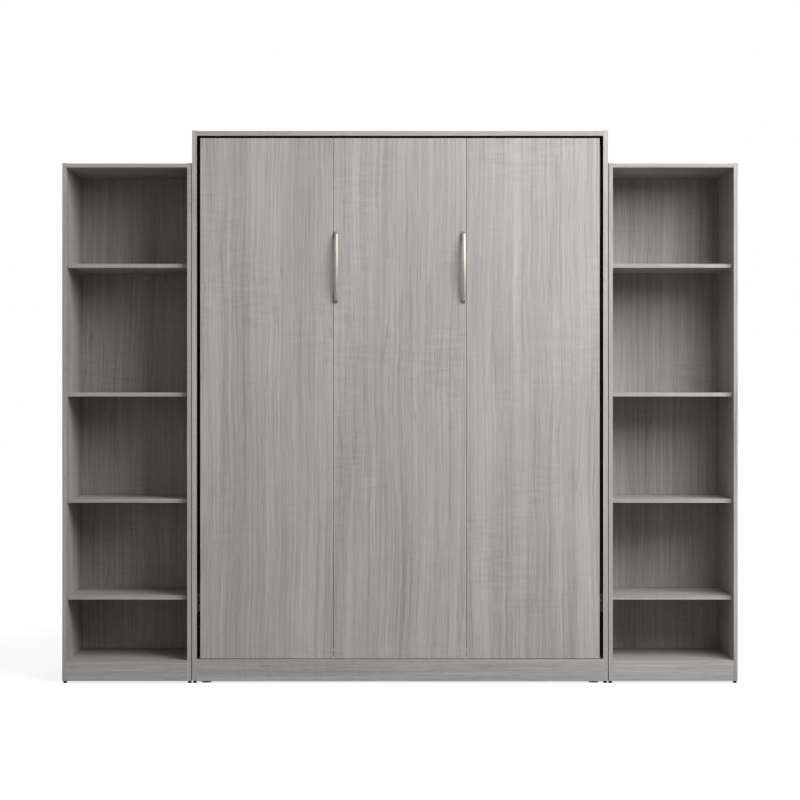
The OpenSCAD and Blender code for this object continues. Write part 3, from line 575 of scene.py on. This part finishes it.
def tube(name, points, radius, material):
    """A closed round cord through the points, which lie in one plane across Y."""
    verts, faces = [], []
    count = len(points)
    up = Vector((0, 1, 0))
    for i, point in enumerate(points):
        ahead = (points[(i + 1) % count] - points[i - 1]).normalized()
        out = ahead.cross(up)
        for k in range(PIPING_SIDES):
            angle = 2 * math.pi * k / PIPING_SIDES
            verts.append(point + radius * (math.cos(angle) * out + math.sin(angle) * up))
    for i in range(count):
        this = i * PIPING_SIDES
        following = (i + 1) % count * PIPING_SIDES
        for k in range(PIPING_SIDES):
            beside = (k + 1) % PIPING_SIDES
            faces.append((this + k, this + beside, following + beside, following + k))
    return mesh_object(name, verts, faces, material)


def apply_modifiers(piece):
    """Replaces the piece's mesh with what its modifiers make of it."""
    graph = bpy.context.evaluated_depsgraph_get()
    made = bpy.data.meshes.new_from_object(piece.evaluated_get(graph))
    piece.modifiers.clear()
    old = piece.data
    piece.data = made
    bpy.data.meshes.remove(old)


def inflate(piece, held):
    """Blows the piece up as cloth, with some points held, and caps how far the rest move."""
    group = piece.vertex_groups.new(name="seams")
    group.add(held, 1.0, "REPLACE")
    start = [v.co.copy() for v in piece.data.vertices]
    cloth = piece.modifiers.new("cloth", "CLOTH")
    settings = cloth.settings
    settings.quality = 4
    settings.mass = 0.35
    settings.tension_stiffness = 12
    settings.compression_stiffness = 12
    settings.shear_stiffness = 4
    settings.bending_stiffness = 1.5
    settings.use_pressure = True
    settings.uniform_pressure_force = 4.0
    settings.effector_weights.gravity = 0
    settings.vertex_group_mass = "seams"
    cloth.collision_settings.use_collision = False
    cloth.point_cache.frame_end = SWELL_FRAMES
    for frame_number in range(1, SWELL_FRAMES + 1):
        scene.frame_set(frame_number)
    apply_modifiers(piece)
    scene.frame_set(1)
    for vertex, before in zip(piece.data.vertices, start):
        step = vertex.co - before
        if step.length > SWELL:
            vertex.co = before + step * (SWELL / step.length)


def unstuffed_cover(half, depths, material):
    """The cover before it is stuffed: a rounded slab round the origin, in small even faces."""
    loop = rounded_loop(half.x - MATTRESS_SIDE, half.z - MATTRESS_SIDE, MATTRESS_CORNER, 8)
    verts = [(x, y, z) for y in depths for x, z in loop]
    count = len(loop)
    faces = [list(range(count)), list(range(2 * count - 1, count - 1, -1))]
    faces += [[i, i + count, (i + 1) % count + count, (i + 1) % count] for i in range(count)]
    piece = mesh_object("mattress_cover", verts, faces, material)
    remesh = piece.modifiers.new("remesh", "REMESH")
    remesh.mode = "VOXEL"
    remesh.voxel_size = VOXEL
    apply_modifiers(piece)
    return piece


def held_points(piece, half):
    """The points held still by the piping, the quilting seams and the seam round the band."""
    flat = half.y - MATTRESS_FACE
    held = []
    for vertex in piece.data.vertices:
        x, y, z = vertex.co
        inner_x = half.x - MATTRESS_SIDE - abs(x)
        inner_z = half.z - MATTRESS_SIDE - abs(z)
        on_face = abs(y) > flat - FACE_DEPTH
        on_rim = min(inner_x, inner_z) < RIM_WIDTH and abs(y) > flat - RIM_WIDTH
        on_band_seam = abs(y) < BAND_HALF and not on_face
        if on_rim or on_band_seam or (on_face and seam_distance(x, z) < SEAM_HALF):
            held.append(vertex.index)
    return held


def make_mattress(material, piping_material):
    low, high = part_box("mattress")
    middle = (low + high) / 2
    half = (high - low) / 2
    depths = (-half.y + MATTRESS_FACE, half.y - MATTRESS_FACE)
    piece = unstuffed_cover(half, depths, material)
    inflate(piece, held_points(piece, half))
    for vertex in piece.data.vertices:
        for axis in range(3):
            reach = half[axis] - KEEP_INSIDE
            vertex.co[axis] = max(-reach, min(reach, vertex.co[axis]))
    for face in piece.data.polygons:
        face.use_smooth = True
    piece.data.materials.clear()
    piece.data.materials.append(material)
    smooth = piece.modifiers.new("subdivision", "SUBSURF")
    smooth.levels = smooth.render_levels = 1
    piece.location = middle
    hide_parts("mattress")
    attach(piece, "bed")
    inset = PIPING_R + PIPING_IN
    rim_loop = rounded_loop(half.x - inset, half.z - inset, MATTRESS_CORNER, 10)
    for side_name, y in zip(("under", "top"), depths):
        points = [Vector((x, y, z)) + middle for x, z in rim_loop]
        edge = tube("mattress_piping_" + side_name, points, PIPING_R, piping_material)
        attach(edge, "bed")


make_mattress(quilted_ticking("quilted_ticking"), plain_ticking("piping_tape", PIPING_COLOUR))


# ---------------------------------------------------------------- floor, world and light

FLOOR_RADIUS = 40
FLOOR_GREY = 0.34         # what the floor sends back on to the object
FLOOR_SEEN = 0.80         # the glow added to it for the camera, rising to 1 further out
FADE_FROM = 1.5
FADE_TO = 4.5
FILL_LIGHT = 0.47
FILL_COLOUR = (0.98, 0.99, 1, 1)
KEY_AT = (2.7, -3.2, 3.8)
KEY_AIM = (0.3, 0, 1.1)
KEY_SIZE = 3.4
KEY_WATTS = 322


def make_floor():
    """A pale floor. Seen by the camera it is near white, and fades into the white behind it."""
    mesh = bpy.data.meshes.new("floor")
    made = bmesh.new()
    bmesh.ops.create_circle(made, cap_ends=True, radius=FLOOR_RADIUS, segments=96)
    made.to_mesh(mesh)
    made.free()
    floor = bpy.data.objects.new("floor", mesh)
    scene.collection.objects.link(floor)
    g = Graph("pale_floor")
    g.finish((FLOOR_GREY, FLOOR_GREY, FLOOR_GREY), 0.9, Specular_IOR_Level=0.0)
    x, y, _ = g.axes(g.position())
    reach = g.math("SQRT", g.math("ADD", g.math("MULTIPLY", x, x), g.math("MULTIPLY", y, y)))
    far = g.remap(reach, FADE_FROM, FADE_TO, smooth=True)
    glow = g.node("ShaderNodeEmission")
    g.put(g.remap(far, 0.0, 1.0, FLOOR_SEEN, 1.0), glow.inputs["Strength"])
    lit = g.node("ShaderNodeAddShader")
    g.put(g.shader.outputs[0], lit.inputs[0])
    g.put(glow.outputs[0], lit.inputs[1])
    seen = g.node("ShaderNodeMixShader")
    g.put(g.node("ShaderNodeLightPath").outputs["Is Camera Ray"], seen.inputs[0])
    g.put(g.shader.outputs[0], seen.inputs[1])
    g.put(lit.outputs[0], seen.inputs[2])
    output = [n for n in g.tree.nodes if n.type == "OUTPUT_MATERIAL"][0]
    g.put(seen.outputs[0], output.inputs["Surface"])
    mesh.materials.append(g.material)


def make_world():
    """An even fill light all round, seen by the camera as plain white."""
    world = bpy.data.worlds.new("studio")
    world.use_nodes = True
    scene.world = world
    tree = world.node_tree
    back = tree.nodes["Background"]
    back.inputs["Color"].default_value = (1, 1, 1, 1)
    dim = tree.nodes.new("ShaderNodeBackground")
    dim.inputs["Color"].default_value = FILL_COLOUR
    dim.inputs["Strength"].default_value = FILL_LIGHT
    path = tree.nodes.new("ShaderNodeLightPath")
    mix = tree.nodes.new("ShaderNodeMixShader")
    tree.links.new(path.outputs["Is Camera Ray"], mix.inputs[0])
    tree.links.new(dim.outputs[0], mix.inputs[1])
    tree.links.new(back.outputs[0], mix.inputs[2])
    output = [n for n in tree.nodes if n.type == "OUTPUT_WORLD"][0]
    tree.links.new(mix.outputs[0], output.inputs["Surface"])


def make_key():
    """One large soft light, high on the right in front."""
    data = bpy.data.lights.new("key", "AREA")
    data.shape = "RECTANGLE"
    data.size = data.size_y = KEY_SIZE
    data.energy = KEY_WATTS
    light = bpy.data.objects.new("key", data)
    light.location = KEY_AT
    aim = Vector(KEY_AIM) - Vector(KEY_AT)
    light.rotation_euler = aim.to_track_quat("-Z", "Y").to_euler()
    scene.collection.objects.link(light)


make_floor()
make_world()
make_key()
